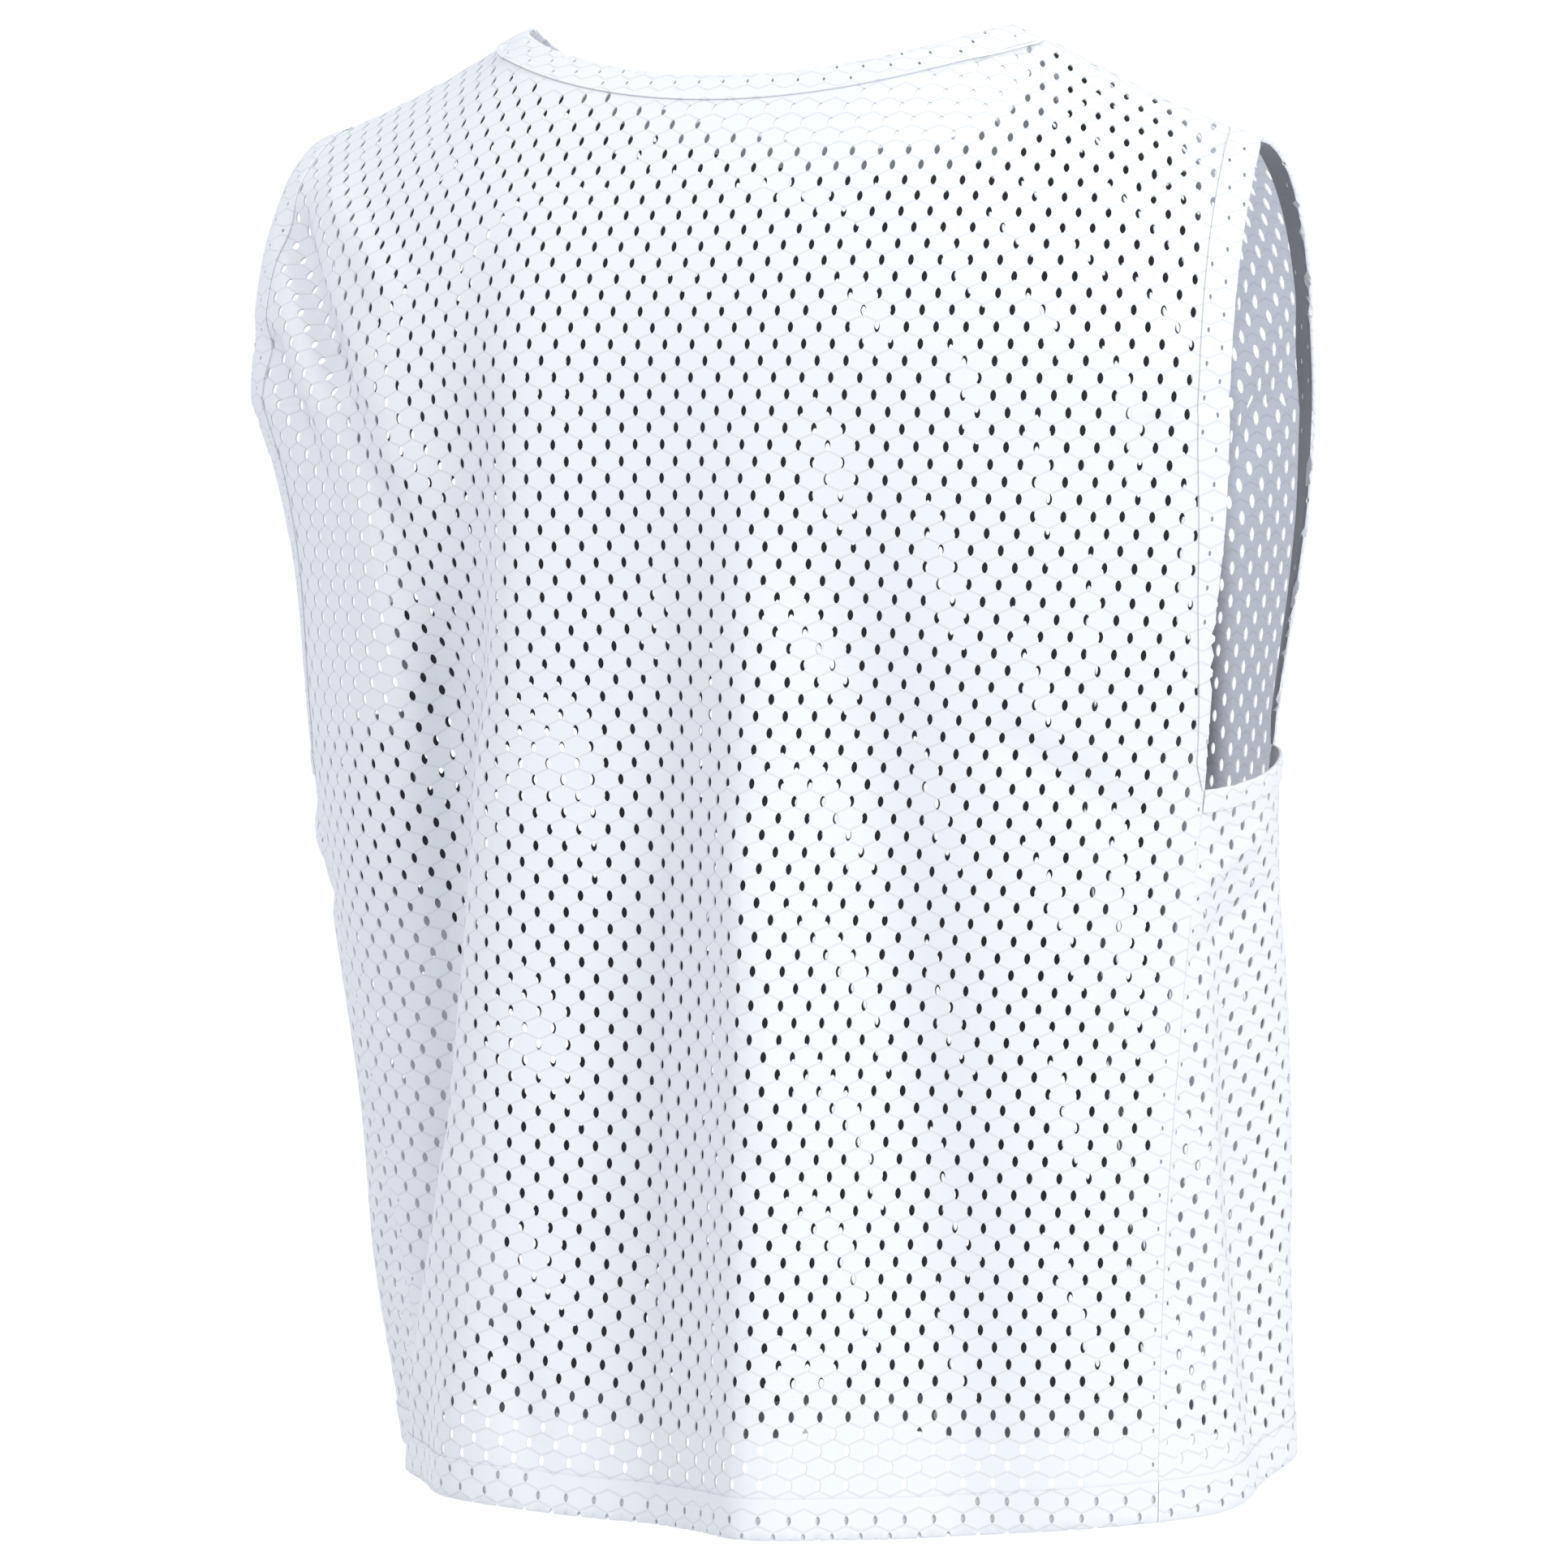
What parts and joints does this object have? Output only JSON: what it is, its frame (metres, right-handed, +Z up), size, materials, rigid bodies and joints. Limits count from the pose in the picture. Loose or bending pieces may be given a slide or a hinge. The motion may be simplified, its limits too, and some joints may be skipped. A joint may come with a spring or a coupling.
{
  "type": "training bib",
  "caption": "Sleeveless mesh sports bib in worn form, hollow, with open neck, armholes and hem, separate side panels and turned hems.",
  "frame": {"origin": "on the shoulder line, midway between the two shoulders, where a wearer or hanger carries the bib", "axes": "+Z is up, -Y is the way the wearer faces, so the back panel is on +Y, and +X is to the wearer's left"},
  "size_m": [0.5002, 0.3231, 0.6829],
  "materials": {
    "mesh_cloth": "white knitted polyester mesh with an even net of small lens-shaped holes",
    "hem_cloth": "the same white mesh turned double and stitched"
  },
  "bodies": {
    "root": {"back_panel": "mesh_cloth", "front_panel": "mesh_cloth", "side_panel_left": "mesh_cloth", "side_panel_right": "mesh_cloth", "neck_hem": "hem_cloth", "bottom_hem": "hem_cloth", "armhole_hem_left": "hem_cloth", "armhole_hem_right": "hem_cloth", "side_hem_left": "hem_cloth", "side_hem_right": "hem_cloth"}
  },
  "joints": []
}
